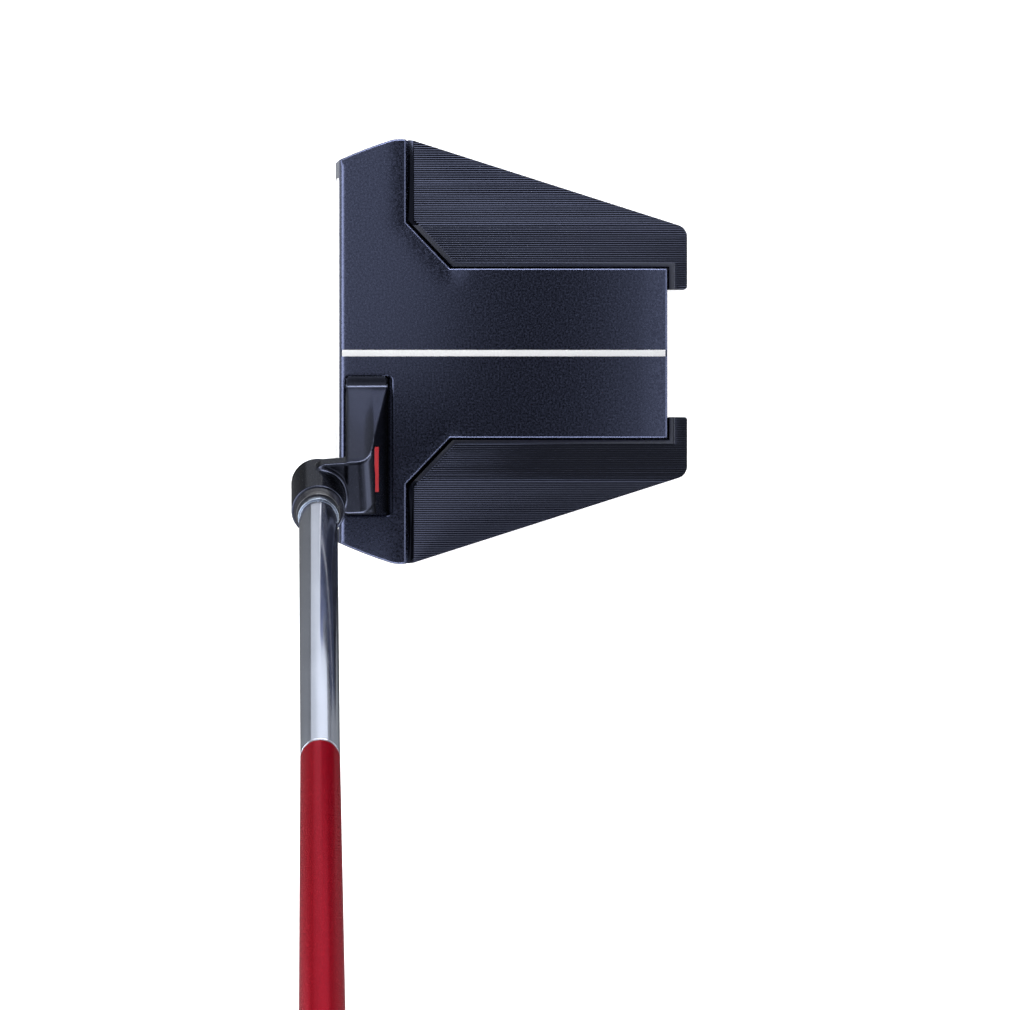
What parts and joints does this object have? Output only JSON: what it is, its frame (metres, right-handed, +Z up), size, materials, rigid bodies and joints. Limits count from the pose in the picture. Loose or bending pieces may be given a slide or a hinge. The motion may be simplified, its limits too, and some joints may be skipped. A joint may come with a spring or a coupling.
{
  "type": "golf putter",
  "caption": "Right-handed mallet putter with a T-shaped crown, ribbed wings, a short slant neck, a two-part shaft and a flat-fronted grip.",
  "frame": {"origin": "centre of the flat sole, under the sight line, halfway between the crown's front edge and the rear of the hooks, on the ground", "axes": "+Z up from the ground, -Y towards the target (the face looks that way), +X towards the heel and the golfer; the club is in its address pose, with the shaft leaning 20 degrees to +X"},
  "size_m": [0.3888, 0.1028, 0.8382],
  "materials": {
    "body_navy": "satin anodised navy black",
    "crown_navy": "satin bead-blasted navy black",
    "wing_navy": "milled ribs, anodised navy black",
    "sight_white": "white paint fill",
    "screw_steel": "black oxide",
    "insert_white": "white urethane",
    "bare_aluminium": "bare sheet",
    "tape_grey": "adhesive tape",
    "core_rubber": "moulded elastomer",
    "sole_plate_black": "brushed, anodised black",
    "weight_steel": "turned stainless steel",
    "neck_black": "satin black physical vapour deposition",
    "stripe_red": "red paint fill",
    "ferrule_black": "polished black plastic",
    "bright_ring": "polished",
    "shaft_chrome": "chrome-plated steel",
    "shaft_red": "satin metallic red paint on graphite tube",
    "grip_foam": "foam under the skin",
    "grip_black": "textured polyurethane",
    "grip_cap_black": "moulded rubber"
  },
  "bodies": {
    "club": {"head_body": "body_navy", "crown_plate": "crown_navy", "sight_line": "sight_white", "toe_wing": "wing_navy", "heel_wing": "wing_navy", "wing_screws": "screw_steel", "face_insert": "insert_white", "insert_backer": "bare_aluminium", "insert_tape": "tape_grey", "damping_core": "core_rubber", "sole_plate": "sole_plate_black", "sole_screws": "screw_steel", "hosel_neck": "neck_black", "neck_screw": "screw_steel", "neck_stripe": "stripe_red", "ferrule": "ferrule_black", "ferrule_ring": "bright_ring", "shaft_tip": "shaft_chrome", "joint_ring": "bright_ring", "shaft_upper": "shaft_red", "grip_tape": "tape_grey", "grip_core": "grip_foam", "grip_skin": "grip_black", "grip_cap": "grip_cap_black"},
    "toe_weight_body": {"toe_weight": "weight_steel"},
    "heel_weight_body": {"heel_weight": "weight_steel"}
  },
  "joints": [
    {"name": "toe_weight_out", "type": "slide", "parent": "club", "child": "toe_weight_body", "axis": [0, 0, -1], "range_m": [0, 0.014]},
    {"name": "heel_weight_out", "type": "slide", "parent": "club", "child": "heel_weight_body", "axis": [0, 0, -1], "range_m": [0, 0.014]}
  ]
}
